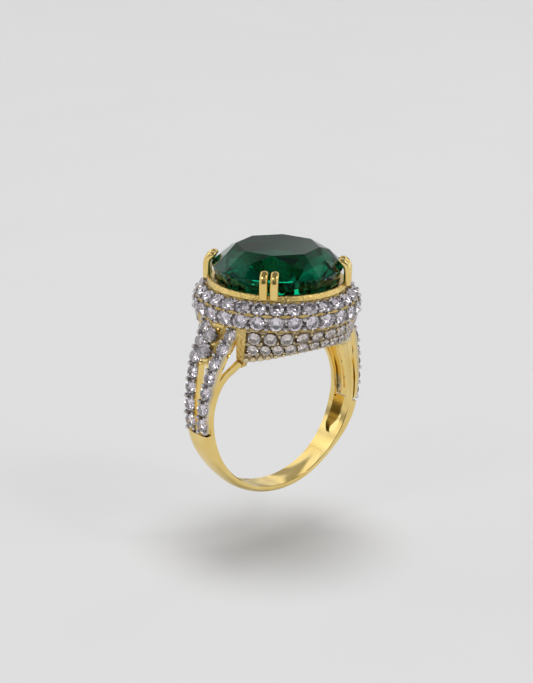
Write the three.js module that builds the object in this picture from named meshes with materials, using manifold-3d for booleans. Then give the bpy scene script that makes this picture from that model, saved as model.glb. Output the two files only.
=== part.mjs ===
// Cocktail ring: a plain gold band that forks into pave-set shoulders, a domed two-row halo on a
// tapering under-gallery, and a large round brilliant held by four pairs of claws.
//
// Frame: millimetres. The origin is the centre of the finger bore, +Z points to the stone,
// the finger lies along Y, and the shoulders rise at +X and -X.

import * as THREE from 'three';
import { mergeVertices } from 'three/addons/utils/BufferGeometryUtils.js';
import { ConvexGeometry } from 'three/addons/geometries/ConvexGeometry.js';
import Module from 'manifold-3d';

// ---------------------------------------------------------------- driving dimensions

const GAP = 0.06; // clearance kept between neighbouring solids
const FINGER_RADIUS = 8.65; // US size 7

const BAND = {
  widthBottom: 2.6,
  widthTop: 3.2,
  crownBottom: 0.85,
  crownTop: 1.15,
  edgeBottom: 0.38,
  edgeTop: 0.95,
  underPlate: 0.45, // thickness left beneath the shoulder plates, and of the arms
  plateStart: 81, // degrees from the bottom of the band where the plates begin
  top: 95, // degrees from the bottom where the hoop ends and the arms go on alone
};

const ARM = {
  width: 0.5,
  start: 88, // degrees from the bottom of the band
  top: 41.5, // degrees above the horizontal
  spreadBottom: 1.35, // half distance between the two arms of a fork
  spreadTop: 2.9,
  steps: 10,
};

const CHANNEL = {
  halfWidth: 0.9,
  start: 55.5, // degrees from the bottom of the band
  depth: 0.75,
  startDepth: 0.3,
  fullDepthAt: 70,
  roundEnd: 6, // degrees taken by the tapering lower end
};

const HALO = {
  stones: 28,
  upper: { radius: 7.55, z: 11.78, tilt: 45 }, // girdle centre of the row, face tilt in degrees
  lower: { radius: 8.08, z: 10.45, tilt: 0 },
  bottom: 9.56,
  top: 12.32,
};

const MELEE = {
  radius: 0.66,
  table: 0.58, // of the radius
  crown: 0.22,
  base: 0.4, // radius of the flat base
  depth: 0.2,
  lift: 0.08, // girdle height above the metal
};

const GROOVE = { half: 0.6, floor: 0.42, depth: 0.22 };

const GALLERY = {
  topRadius: 7.75,
  top: 9.48,
  rimX: 7.5, // half axes of the lower rim
  rimY: 6.45,
  rimZ: 7.1, // rim height at x = 0
  arch: 0.0235, // the rim falls by this times x squared
  wall: 0.7,
  cornerAngle: 30, // the two halves stop this far from the X axis, in degrees
  // distance below the top edge, number of stones, degrees between them, and their radius
  upperRow: { down: 0.74, stones: 10, pitch: 11.85, radius: 0.62 },
  lowerRow: { down: 1.95, stones: 12, pitch: 9.7, radius: 0.46 },
  lowerGroove: 0.78, // the lower row's groove is narrower by this factor
  steps: 20,
};

const COLLET = { inner: 6.2, outerTop: 6.72, outerFoot: 6.92, bottom: 12.38, top: 12.88 };

const SEAT = { inner: 5.5, bottom: 11.9, top: 12.22, bevel: 0.1 };

const STONE = {
  radius: 6.45,
  tableRadius: 4.12,
  tableZ: 16.12,
  starRadius: 5.25,
  starZ: 15.42,
  girdleTop: 14.32,
  girdleBottom: 14.12,
  bellyRadius: 5.95, // the pavilion drops steeply to here, then runs in to the culet
  bellyZ: 12.65,
  culet: 8.9,
  culetRadius: 0.3,
};

const CLAW = {
  radius: 0.42,
  pairOffset: 0.53, // each claw from the middle of its pair
  path: [
    [6.9, 12.5],
    [6.9, 13.3],
    [6.86, 14.0],
    [6.74, 14.46],
    [6.44, 14.76],
    [6.08, 14.8],
  ], // radius, height
};

const SHOULDER = {
  bottom: -1.2,
  top: 9.44,
  thickness: 0.95,
  margin: 0.63, // from a strand's centre line to the plate's edge
  bulge: 0.14, // convexity of the upper plate
  levels: 14, // sections along the plate
  stoneRadius: 0.62,
  strandStones: [-0.4, 1.21, 2.87, 4.34, 5.87, 7.24, 8.46], // heights z of the stones of a strand
  middleStones: [8.25, 6.75], // and of those between the strands
  middleLift: 0.26, // girdle of a middle stone above the plate
  middleSlope: 0.5, // their faces look up by this much for 1 outward
  // x of the plate's face at a strand, and y of the strand, by height z
  faceX: [
    [-1.2, 9.5],
    [-0.4, 9.61],
    [1.2, 9.64],
    [2.85, 9.44],
    [4.3, 9.13],
    [5.85, 8.72],
    [7.2, 7.96],
    [8.45, 7.26],
    [9.44, 6.86],
  ],
  strandY: [
    [-1.2, 0.88],
    [1.2, 1.04],
    [4.35, 1.36],
    [7.2, 1.77],
    [9.44, 2.15],
  ],
};

const SPLIT = { top: 5.6, bottom: -0.5, halfTop: 0.62, halfBottom: 0.12, shoulder: 5.2 };

// ---------------------------------------------------------------- materials

const yellowGold = () =>
  new THREE.MeshStandardMaterial({ color: 0xd9b45c, roughness: 0.22, metalness: 1 });
const rhodium = () =>
  new THREE.MeshStandardMaterial({ color: 0xd5d2d4, roughness: 0.25, metalness: 1 });
const emerald = () =>
  new THREE.MeshStandardMaterial({ color: 0x0b4a2c, roughness: 0.05, metalness: 0 });
const whiteStone = () =>
  new THREE.MeshStandardMaterial({ color: 0xe6dfe8, roughness: 0.06, metalness: 0 });

// ---------------------------------------------------------------- small tools

const radians = THREE.MathUtils.degToRad;
const mix = THREE.MathUtils.lerp;
const smooth = THREE.MathUtils.smoothstep;

/** Straight interpolation in a list of [key, value] pairs with rising keys. */
function along(table, key) {
  const last = table.length - 1;
  for (let i = 1; i <= last; i += 1) {
    if (key <= table[i][0] || i === last) {
      const [k0, v0] = table[i - 1];
      const [k1, v1] = table[i];
      return mix(v0, v1, (key - k0) / (k1 - k0));
    }
  }
  return table[last][1];
}

/** Merge shared corners and turn the faces outward. */
function closedBody(source) {
  const bare = source.clone();
  bare.deleteAttribute('normal');
  bare.deleteAttribute('uv');
  const body = mergeVertices(bare, 1e-4);
  const index = body.getIndex();
  const position = body.getAttribute('position');
  const a = new THREE.Vector3();
  const b = new THREE.Vector3();
  const c = new THREE.Vector3();
  let volume = 0;
  for (let i = 0; i < index.count; i += 3) {
    a.fromBufferAttribute(position, index.getX(i));
    b.fromBufferAttribute(position, index.getX(i + 1));
    c.fromBufferAttribute(position, index.getX(i + 2));
    volume += a.dot(b.cross(c));
  }
  if (volume < 0) {
    for (let i = 0; i < index.count; i += 3) {
      const swap = index.getX(i);
      index.setX(i, index.getX(i + 1));
      index.setX(i + 1, swap);
    }
  }
  return body;
}

/** A section: a flat outline [[u, v], ...] laid on the plane origin + u U + v V. */
function section(outline, origin, U, V) {
  return {
    outline,
    points: outline.map(([u, v]) => origin.clone().addScaledVector(U, u).addScaledVector(V, v)),
  };
}

/** Triangles that close one end of a loft, turned with the outline or against it. */
function cap({ outline }, first, withOutline) {
  const contour = outline.map(([u, v]) => new THREE.Vector2(u, v));
  const turn = Math.sign(THREE.ShapeUtils.area(contour));
  return THREE.ShapeUtils.triangulateShape(contour, []).flatMap(([a, b, c]) => {
    const same = Math.sign(THREE.ShapeUtils.area([contour[a], contour[b], contour[c]])) === turn;
    const order = same === withOutline ? [a, b, c] : [a, c, b];
    return order.map((k) => first + k);
  });
}

/** Skin a list of sections that have the same number of points. */
function loft(sections, closed = false) {
  const n = sections[0].points.length;
  const positions = sections.flatMap((s) => s.points.flatMap((p) => p.toArray()));
  const index = [];
  const spans = closed ? sections.length : sections.length - 1;
  for (let s = 0; s < spans; s += 1) {
    const here = s * n;
    const next = ((s + 1) % sections.length) * n;
    for (let i = 0; i < n; i += 1) {
      const j = (i + 1) % n;
      index.push(here + i, here + j, next + j, here + i, next + j, next + i);
    }
  }
  if (!closed) {
    index.push(...cap(sections[0], 0, false));
    index.push(...cap(sections[sections.length - 1], (sections.length - 1) * n, true));
  }
  const geometry = new THREE.BufferGeometry();
  geometry.setAttribute('position', new THREE.Float32BufferAttribute(positions, 3));
  geometry.setIndex(index);
  return closedBody(geometry);
}

/** A ring turned about Z from a closed outline of [radius, z] points. */
function turned(outline, segments) {
  const loop = [...outline, outline[0]].map(([r, z]) => new THREE.Vector2(r, z));
  return closedBody(new THREE.LatheGeometry(loop, segments).rotateX(Math.PI / 2));
}

const wasm = await Module();
wasm.setup();

function toManifold(geometry) {
  const body = closedBody(geometry);
  return new wasm.Manifold(
    new wasm.Mesh({
      numProp: 3,
      vertProperties: new Float32Array(body.getAttribute('position').array),
      triVerts: new Uint32Array(body.getIndex().array),
    }),
  );
}

function fromManifold(solid) {
  const mesh = solid.getMesh();
  const geometry = new THREE.BufferGeometry();
  geometry.setAttribute('position', new THREE.Float32BufferAttribute(mesh.vertProperties, 3));
  geometry.setIndex([...mesh.triVerts]);
  return geometry;
}

function cut(geometry, ...tools) {
  return fromManifold(tools.reduce((left, tool) => left.subtract(toManifold(tool)), toManifold(geometry)));
}

function join(...geometries) {
  const [first, ...rest] = geometries.map(toManifold);
  return fromManifold(rest.reduce((sum, solid) => sum.add(solid), first));
}

const ring = new THREE.Group();

function addPart(name, geometry, material) {
  const mesh = new THREE.Mesh(geometry, material);
  mesh.name = name;
  ring.add(mesh);
  return mesh;
}

const Y_AXIS = new THREE.Vector3(0, 1, 0);

// ---------------------------------------------------------------- band with its forked arms

/** Outward direction in the XZ plane, angle in degrees from the bottom of the band. */
const outward = (angle) =>
  new THREE.Vector3(Math.sin(radians(angle)), 0, -Math.cos(radians(angle)));

/** Half-round outline, flat on the finger side. */
function bandOutline(angle) {
  const side = Math.abs(angle);
  const plated = side > BAND.plateStart;
  const width = mix(BAND.widthBottom, BAND.widthTop, smooth(side, 30, BAND.plateStart));
  const grown = smooth(side, 42, BAND.plateStart);
  const edge = plated ? BAND.underPlate : mix(BAND.edgeBottom, BAND.edgeTop, grown);
  const crown = plated ? BAND.underPlate : mix(BAND.crownBottom, BAND.crownTop, grown);
  const arc = [0.5, 0.4, 0.22, 0, -0.22, -0.4, -0.5].map((f) => {
    const rise = Math.sqrt(1 - (2 * f) ** 2);
    return [f * width, edge + (crown - edge) * rise + (plated ? 0.01 * rise : 0)];
  });
  return [[-width / 2, 0], [width / 2, 0], ...arc];
}

function hoop() {
  const stops = [];
  for (let angle = -75; angle <= 75; angle += 5) stops.push(angle);
  const side = [BAND.plateStart - 0.3, BAND.plateStart + 0.3, BAND.top];
  const angles = [...side.map((s) => -s).reverse(), ...stops, ...side];
  return loft(
    angles.map((angle) => {
      const out = outward(angle);
      const origin = out.clone().multiplyScalar(FINGER_RADIUS);
      return section(bandOutline(angle), origin, Y_AXIS, out);
    }),
  );
}

/** One arm of a fork: side is +1 or -1 in X, face is +1 or -1 in Y. */
function arm(side, face) {
  const sections = [];
  const half = ARM.width / 2;
  const outline = [
    [-half, 0],
    [half, 0],
    [half, BAND.underPlate],
    [-half, BAND.underPlate],
  ];
  for (let i = 0; i <= ARM.steps; i += 1) {
    const angle = mix(ARM.start, 90 + ARM.top, i / ARM.steps);
    const climb = Math.max(0, angle - 90) / ARM.top;
    const y = face * mix(ARM.spreadBottom, ARM.spreadTop, climb ** 2);
    const out = outward(side * angle);
    const origin = out.clone().multiplyScalar(FINGER_RADIUS).setY(y);
    sections.push(section(outline, origin, Y_AXIS, out));
  }
  return loft(sections);
}

/** The slot on the finger side that divides the band into two arms, with a round lower end. */
function channel(side) {
  const sections = [];
  const stops = [0, 0.6, 1.6, 3.2, 8, 16, 24, 32, 40, 48];
  for (const stop of stops) {
    const angle = CHANNEL.start + stop;
    const out = outward(side * angle);
    const w = CHANNEL.halfWidth * Math.sqrt(Math.min(1, 0.04 + stop / CHANNEL.roundEnd));
    const deepening = smooth(angle, CHANNEL.start, CHANNEL.fullDepthAt);
    const top = mix(CHANNEL.startDepth, CHANNEL.depth, deepening);
    const outline = [
      [-w, -0.5],
      [w, -0.5],
      [w, top],
      [-w, top],
    ];
    sections.push(section(outline, out.clone().multiplyScalar(FINGER_RADIUS), Y_AXIS, out));
  }
  return loft(sections);
}

const arms = [-1, 1].flatMap((side) => [-1, 1].map((face) => arm(side, face)));
addPart('band', cut(join(hoop(), ...arms), channel(-1), channel(1)), yellowGold());

// ---------------------------------------------------------------- pave shoulders

const strandY = (z) => along(SHOULDER.strandY, z);
const faceX = (z) => along(SHOULDER.faceX, z);
/** x of the plate's middle, which stands prouder than the strands. */
const crownX = (z) => faceX(z) + SHOULDER.bulge * strandY(z) ** 2;

/** Clearance to the arms and the thinned band behind the plate. */
function plateThickness(z) {
  const behind = FINGER_RADIUS + BAND.underPlate + GAP;
  const armX = Math.sqrt(Math.max(0, behind ** 2 - z ** 2));
  return Math.min(SHOULDER.thickness, faceX(z) - armX);
}

function plateSection(side, z) {
  const y = strandY(z);
  const edge = y + SHOULDER.margin;
  const inner = y - SHOULDER.margin;
  const crown = crownX(z) - faceX(z);
  const thickness = plateThickness(z);
  const { half, floor, depth } = GROOVE;
  const right = [
    [inner, crown * 0.4],
    [y - half, 0],
    [y - floor, -depth],
    [y + floor, -depth],
    [y + half, 0],
    [edge, -0.02],
    [edge, -thickness],
  ];
  const left = right.map(([u, v]) => [-u, v]).reverse();
  const outline = [...left, [0, crown], ...right];
  const origin = new THREE.Vector3(side * faceX(z), 0, z);
  return section(outline, origin, Y_AXIS, new THREE.Vector3(side, 0, 0));
}

/** The V-shaped split between the two strands. */
function split(side) {
  const { top, bottom, halfTop, halfBottom, shoulder } = SPLIT;
  const shape = new THREE.Shape([
    new THREE.Vector2(-halfBottom, bottom),
    new THREE.Vector2(halfBottom, bottom),
    new THREE.Vector2(halfTop, shoulder),
    new THREE.Vector2(halfTop * 0.5, top),
    new THREE.Vector2(-halfTop * 0.5, top),
    new THREE.Vector2(-halfTop, shoulder),
  ]);
  const prism = new THREE.ExtrudeGeometry(shape, { depth: 6, bevelEnabled: false });
  const toSide = new THREE.Matrix4().makeBasis(
    new THREE.Vector3(0, 1, 0),
    new THREE.Vector3(0, 0, 1),
    new THREE.Vector3(1, 0, 0),
  );
  return prism.applyMatrix4(toSide).translate(side > 0 ? 6 : -12, 0, 0);
}

function shoulder(side) {
  const levels = [];
  for (let i = 0; i <= SHOULDER.levels; i += 1) {
    levels.push(mix(SHOULDER.bottom, SHOULDER.top, i / SHOULDER.levels));
  }
  return cut(loft(levels.map((z) => plateSection(side, z))), split(side));
}

addPart('shoulder_left', shoulder(-1), rhodium());
addPart('shoulder_right', shoulder(1), rhodium());

// ---------------------------------------------------------------- halo dome

/** Lips and groove of one pave row across its face, as [radius, z] points from top to bottom. */
function rowProfile({ radius, z, tilt }) {
  const across = [Math.sin(radians(tilt)), -Math.cos(radians(tilt))];
  const out = [Math.cos(radians(tilt)), Math.sin(radians(tilt))];
  const at = (s, h) => [
    radius + across[0] * s + out[0] * (h - MELEE.lift),
    z + across[1] * s + out[1] * (h - MELEE.lift),
  ];
  const { half, floor, depth } = GROOVE;
  return [at(-half, 0), at(-floor, -depth), at(floor, -depth), at(half, 0)];
}

addPart(
  'halo_dome',
  turned(
    [
      [COLLET.inner, HALO.top],
      [6.95, HALO.top],
      ...rowProfile(HALO.upper),
      ...rowProfile(HALO.lower),
      [8.02, 9.7],
      [7.9, HALO.bottom],
      [6.9, HALO.bottom],
      [6.6, 10.6],
      [COLLET.inner, 11.6],
    ],
    56,
  ),
  rhodium(),
);

// ---------------------------------------------------------------- melee stones

/** A small round stone: table up +Z, girdle in the XY plane. */
function meleeStone(radius, sides = 8) {
  const ringOf = (r, z) =>
    Array.from({ length: sides }, (_, i) => {
      const a = ((i + 0.5) * 2 * Math.PI) / sides;
      return new THREE.Vector3(r * Math.cos(a), r * Math.sin(a), z);
    });
  return closedBody(
    new ConvexGeometry([
      ...ringOf(radius * MELEE.table, MELEE.crown),
      ...ringOf(radius, 0),
      ...ringOf(MELEE.base, -MELEE.depth),
    ]),
  );
}

/**
 * A row of stones that touch through their girdles, as one body: `place(s)` gives the frame at
 * the distance s along the row, and `centres` are the stones' places on it.
 */
function stoneRow(centres, radius, place, closed = false) {
  const neck = 0.09;
  const outline = (w) => {
    const share = w / radius;
    return [
      [-w, 0],
      [-w * MELEE.table, MELEE.crown * share],
      [w * MELEE.table, MELEE.crown * share],
      [w, 0],
      [w * 0.6, -MELEE.depth * share],
      [-w * 0.6, -MELEE.depth * share],
    ];
  };
  const stations = [];
  centres.forEach((s, i) => {
    const next = centres[i + 1];
    if (i === 0 && !closed) stations.push([s - radius, neck]);
    stations.push([s - radius * 0.6, radius * 0.8], [s, radius], [s + radius * 0.6, radius * 0.8]);
    if (next !== undefined) stations.push([(s + next) / 2, neck]);
    else if (closed) stations.push([s + (centres[1] - centres[0]) / 2, neck]);
    else stations.push([s + radius, neck]);
  });
  const sections = stations.map(([s, w]) => {
    const { origin, across, out } = place(s);
    return section(outline(w), origin, across, out);
  });
  return loft(sections, closed);
}

const stepAngle = 360 / HALO.stones;

function haloPlace(row, angle) {
  const a = radians(angle);
  const radial = new THREE.Vector3(Math.cos(a), Math.sin(a), 0);
  const up = new THREE.Vector3(0, 0, 1);
  const tilt = radians(row.tilt);
  return {
    origin: radial.clone().multiplyScalar(row.radius).setZ(row.z),
    across: radial.clone().multiplyScalar(-Math.sin(tilt)).addScaledVector(up, Math.cos(tilt)),
    out: radial.clone().multiplyScalar(Math.cos(tilt)).addScaledVector(up, Math.sin(tilt)),
  };
}

for (let i = 0; i < HALO.stones; i += 1) {
  const { origin, across, out } = haloPlace(HALO.upper, i * stepAngle);
  const mesh = addPart(`halo_stone_${i + 1}`, meleeStone(MELEE.radius), whiteStone());
  const tangent = new THREE.Vector3().crossVectors(across, out);
  mesh.quaternion.setFromRotationMatrix(new THREE.Matrix4().makeBasis(tangent, across, out));
  mesh.position.copy(origin);
}

const perDegree = radians(HALO.lower.radius);
addPart(
  'halo_lower_row',
  stoneRow(
    Array.from({ length: HALO.stones }, (_, i) => i * stepAngle * perDegree),
    MELEE.radius,
    (s) => haloPlace(HALO.lower, s / perDegree),
    true,
  ),
  whiteStone(),
);

// ---------------------------------------------------------------- shoulder stones

/** Frame on a strand at height z. */
function strandPlace(side, face, z) {
  const step = 0.05;
  const slope = (faceX(z + step) - faceX(z - step)) / (2 * step);
  const across = Y_AXIS.clone();
  const out = new THREE.Vector3(side, 0, -slope).normalize();
  const origin = new THREE.Vector3(side * faceX(z), face * strandY(z), z);
  return { origin: origin.addScaledVector(out, MELEE.lift), across, out };
}

function strand(side, face) {
  return stoneRow(SHOULDER.strandStones, SHOULDER.stoneRadius, (z) => strandPlace(side, face, z));
}

const sides = [
  ['left', -1],
  ['right', 1],
];
const faces = [
  ['front', -1],
  ['back', 1],
];
for (const [sideName, side] of sides) {
  for (const [faceName, face] of faces) {
    addPart(`strand_${sideName}_${faceName}`, strand(side, face), whiteStone());
  }
  SHOULDER.middleStones.forEach((z, i) => {
    const name = `shoulder_stone_${sideName}_${i + 1}`;
    const mesh = addPart(name, meleeStone(MELEE.radius), whiteStone());
    const out = new THREE.Vector3(side, 0, SHOULDER.middleSlope).normalize();
    mesh.quaternion.setFromUnitVectors(new THREE.Vector3(0, 0, 1), out);
    mesh.position.set(side * crownX(z), 0, z).addScaledVector(out, SHOULDER.middleLift);
  });
}

// ---------------------------------------------------------------- under-gallery

/** Frame of the gallery wall at the angle t: u runs down the wall, v outward. */
function galleryPlace(t) {
  const a = radians(t);
  const top = new THREE.Vector3(Math.cos(a), Math.sin(a), 0)
    .multiplyScalar(GALLERY.topRadius)
    .setZ(GALLERY.top);
  const x = GALLERY.rimX * Math.cos(a);
  const rim = new THREE.Vector3(x, GALLERY.rimY * Math.sin(a), GALLERY.rimZ - GALLERY.arch * x * x);
  const down = rim.clone().sub(top);
  const length = down.length();
  down.normalize();
  const tangent = new THREE.Vector3(-Math.sin(a), Math.cos(a), 0);
  const out = new THREE.Vector3().crossVectors(down, tangent).normalize();
  if (out.dot(top) < 0) out.negate();
  return { top, down, out, length };
}

function gallery(face) {
  const { half, floor, depth } = GROOVE;
  const { cornerAngle, upperRow, lowerRow, lowerGroove: lower, wall, steps } = GALLERY;
  const rowUpper = upperRow.down;
  const rowLower = lowerRow.down;
  const sections = [];
  for (let i = 0; i <= steps; i += 1) {
    const t = face * mix(cornerAngle, 180 - cornerAngle, i / steps);
    const { top, down, out, length } = galleryPlace(t);
    const outline = [
      [0, 0],
      [rowUpper - half, 0],
      [rowUpper - floor, -depth],
      [rowUpper + floor, -depth],
      [rowUpper + half, 0],
      [rowLower - half * lower, 0],
      [rowLower - floor * lower, -depth],
      [rowLower + floor * lower, -depth],
      [rowLower + half * lower, 0],
      [length, 0],
      [length, -wall],
      [0.35, -wall],
    ];
    sections.push(section(outline, top, down, out));
  }
  return loft(sections);
}

function galleryRow(face, { down: distance, stones, pitch, radius }) {
  const perStep = radians(GALLERY.topRadius);
  const centres = Array.from(
    { length: stones },
    (_, i) => (90 + (i - (stones - 1) / 2) * pitch) * perStep,
  );
  return stoneRow(centres, radius, (s) => {
    const { top, down, out } = galleryPlace((face * s) / perStep);
    const origin = top.clone().addScaledVector(down, distance).addScaledVector(out, MELEE.lift);
    return { origin, across: down.clone().negate(), out };
  });
}

for (const [faceName, face] of faces) {
  addPart(`gallery_${faceName}`, gallery(face), rhodium());
  addPart(`gallery_upper_row_${faceName}`, galleryRow(face, GALLERY.upperRow), whiteStone());
  addPart(`gallery_lower_row_${faceName}`, galleryRow(face, GALLERY.lowerRow), whiteStone());
}

// ---------------------------------------------------------------- centre stone

/** A ring of points for the brilliant cut; turn is in steps of the ring's own spacing. */
function facetRing(count, radius, z, turn) {
  return Array.from({ length: count }, (_, i) => {
    const a = ((i + turn) * 2 * Math.PI) / count;
    return new THREE.Vector3(radius * Math.cos(a), radius * Math.sin(a), z);
  });
}

/** The brilliant, its outline moved outward by grow. */
function brilliant(grow) {
  return closedBody(
    new ConvexGeometry([
      ...facetRing(8, STONE.tableRadius + grow, STONE.tableZ + grow, 0),
      ...facetRing(8, STONE.starRadius + grow, STONE.starZ + grow, 0.5),
      ...facetRing(32, STONE.radius + grow, STONE.girdleTop + grow, 0),
      ...facetRing(32, STONE.radius + grow, STONE.girdleBottom - grow, 0),
      ...facetRing(16, STONE.bellyRadius + grow, STONE.bellyZ, 0),
      ...facetRing(8, STONE.culetRadius, STONE.culet - grow, 0),
    ]),
  );
}

addPart('centre_stone', brilliant(0), emerald());

// ---------------------------------------------------------------- claws, collet and stone seat

function clawGeometry(radius) {
  const outline = Array.from({ length: 8 }, (_, i) => {
    const a = ((i + 0.5) * Math.PI) / 4;
    return [radius * Math.cos(a), radius * Math.sin(a)];
  });
  const path = CLAW.path.map(([r, z]) => new THREE.Vector3(r, 0, z));
  const sections = path.map((point, i) => {
    const before = path[Math.max(0, i - 1)];
    const after = path[Math.min(path.length - 1, i + 1)];
    const direction = after.clone().sub(before).normalize();
    const out = new THREE.Vector3().crossVectors(direction, Y_AXIS).normalize();
    const shrink = i === path.length - 1 ? 0.55 : 1;
    return section(outline.map(([u, v]) => [u * shrink, v * shrink]), point, Y_AXIS, out);
  });
  return loft(sections);
}

function clawAt(angle, offset, radius) {
  return clawGeometry(radius).translate(0, offset, 0).rotateZ(radians(angle));
}

const clawCorners = [
  ['front_left', -135],
  ['front_right', -45],
  ['back_right', 45],
  ['back_left', 135],
];
const clawPlaces = clawCorners.flatMap(([corner, angle]) => [
  { name: `claw_${corner}_1`, angle, offset: -CLAW.pairOffset },
  { name: `claw_${corner}_2`, angle, offset: CLAW.pairOffset },
]);
const notch = brilliant(GAP);
for (const { name, angle, offset } of clawPlaces) {
  addPart(name, cut(clawAt(angle, offset, CLAW.radius), notch), yellowGold());
}

const colletRing = turned(
  [
    [COLLET.inner, COLLET.bottom],
    [COLLET.outerFoot, COLLET.bottom],
    [COLLET.outerTop, COLLET.top - 0.12],
    [COLLET.outerTop - 0.12, COLLET.top],
    [COLLET.inner, COLLET.top],
  ],
  64,
);
const clawSlots = clawPlaces.map(({ angle, offset }) => clawAt(angle, offset, CLAW.radius + GAP));
addPart('collet', cut(colletRing, ...clawSlots), yellowGold());

addPart(
  'stone_seat',
  turned(
    [
      [SEAT.inner, SEAT.bottom],
      [COLLET.inner - GAP, SEAT.bottom],
      [COLLET.inner - GAP, SEAT.top],
      [SEAT.inner + SEAT.bevel, SEAT.top],
    ],
    48,
  ),
  yellowGold(),
);

export default ring;
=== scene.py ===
"""Cocktail ring: looks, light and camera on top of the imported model.

Shapes are written in millimetres in the model's own frame (origin at the centre of the finger
bore, +Z towards the stone, the finger along Y) and become metres when a mesh is made.
"""

import math

import bmesh
import bpy
from mathutils import Matrix, Vector


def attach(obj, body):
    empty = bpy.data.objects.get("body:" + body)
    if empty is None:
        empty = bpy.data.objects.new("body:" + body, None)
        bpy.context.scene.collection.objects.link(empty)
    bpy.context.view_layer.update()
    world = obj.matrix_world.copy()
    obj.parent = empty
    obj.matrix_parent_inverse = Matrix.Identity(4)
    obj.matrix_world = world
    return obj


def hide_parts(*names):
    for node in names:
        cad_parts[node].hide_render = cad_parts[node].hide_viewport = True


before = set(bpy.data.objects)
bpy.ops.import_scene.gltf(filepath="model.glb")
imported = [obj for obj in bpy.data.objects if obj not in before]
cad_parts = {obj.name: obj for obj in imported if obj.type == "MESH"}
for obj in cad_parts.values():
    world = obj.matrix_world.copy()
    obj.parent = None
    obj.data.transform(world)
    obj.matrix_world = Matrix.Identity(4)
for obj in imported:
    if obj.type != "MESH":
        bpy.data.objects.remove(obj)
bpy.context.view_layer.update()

MM = 0.001
ROOT = "root"
SIDES = (("left", -1), ("right", 1))  # along X
FACES = (("front", -1), ("back", 1))  # along Y

# ---------------------------------------------------------------- sizes, in millimetres

FINGER_RADIUS = 8.65

# Angles along the band and the arms are in degrees from the bottom of the band.
BAND = dict(
    width_bottom=2.6, width_top=3.2, crown_bottom=0.85, crown_top=1.15,
    edge_bottom=0.38, edge_top=0.95, end=81.0, widens_from=30.0, thickens_from=42.0, chamfer=0.05,
    rounding=0.06, steps=22,
)
BAND_STEP = 1.5  # between sections, but for those at the channel's end
BAND_CLOSE_STEPS = [55.4, 55.6, 55.8, 56.2, 56.8, 57.6, 58.6, 59.8, 61.0, 62.2]
BAND_CLOSE_RANGE = (55.0, 63.0)
ARM = dict(
    start=80.0, top=131.5, thickness=0.45, thickness_top=0.7, inner_start=0.9, outer_start=1.6,
    width=0.5, corner=0.1, forks=(84, 94), thickens=(100, 118), steps=44,
)
ARM_SPREAD = [  # angle, and half distance between the middles of a fork's two arms
    (90, 1.35), (97, 1.38), (108, 1.56), (115, 1.76), (121, 2.1), (127, 2.62), (132, 2.9),
]
CHANNEL = dict(
    start=55.5, half_width=0.9, start_depth=0.3, depth=0.75, full_depth_at=70.0, taper=6.0,
    tip=0.04,
)

HALO_STONES = 28
UPPER_ROW = dict(radius=7.55, z=11.78, tilt=45.0)  # middle of the girdles; degrees above level
LOWER_ROW = dict(radius=8.08, z=10.45, tilt=0.0)
HALO_BOTTOM = 9.56
HALO_TOP = 12.32
HALO_TOP_OUTER = 6.93  # radius where the flat top ends
HALO_UNDERSIDE = [(8.02, 9.68), (7.9, HALO_BOTTOM), (6.9, HALO_BOTTOM), (6.6, 10.6)]  # radius, z
HALO_INNER_FOOT = 11.6
HALO_SECTIONS_PER_STONE = 10

MELEE_RADIUS = 0.69
MELEE_LIFT = 0.1  # girdles above the surface of the metal
MELEE_SHAPE = dict(  # for a radius of 1
    radius=1.0, table_radius=0.56, table_z=0.32, star_radius=0.79, star_z=0.19,
    girdle_top=0.03, girdle_bottom=-0.03, lower_radius=0.3, lower_z=-0.56, culet_z=-0.78,
)
SETTING_WOBBLE = 3.5  # degrees that a hand-set stone may sit off square
WOBBLE_CHANGE = (5, 3)  # make the two tilts differ from stone to stone
SPIN = dict(upper=17, lower=29, strand=23, middle=40, gallery=31)  # degrees from stone to stone
SHOULDER_STONE_RADIUS = 0.64

# A row of stones lies in a groove whose edges rise and swell in waves, once for every stone.
GROOVE = dict(
    half=0.65, floor=0.3, depth=0.55, scallop=0.07, edge_drop=0.03, wave_drop=0.05, lip=0.06,
)

# Grains of metal that hold the stones. The shift is measured across the row from its middle, and
# the lift outward from the plane of the stones' girdles.
BEAD_RINGS = 5
BEAD_SIDES = 10
HALO_BEAD = dict(radius=0.25, shift=0.46, lift=0.1)
EDGE_BEAD = dict(radius=0.13, shift=0.78, lift_above=-0.06, lift_below=-0.08)
STRAND_BEAD = dict(radius=0.24, shift=0.46, lift=0.06)
MIDDLE_BEAD = dict(radius=0.2, reach=0.8)
GALLERY_BEAD = dict(radius=0.28, shift=0.65, lift=-0.04)  # first two in parts of a stone's radius
CUP_PROFILE = [  # distance from the axis and height, in parts of the stone's radius
    (0.0, -0.5), (0.5, -0.48), (0.98, -0.05), (1.08, 0.04), (1.18, -0.05), (1.22, -0.7),
    (0.0, -0.9),
]
CUP_SIDES = 24

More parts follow.
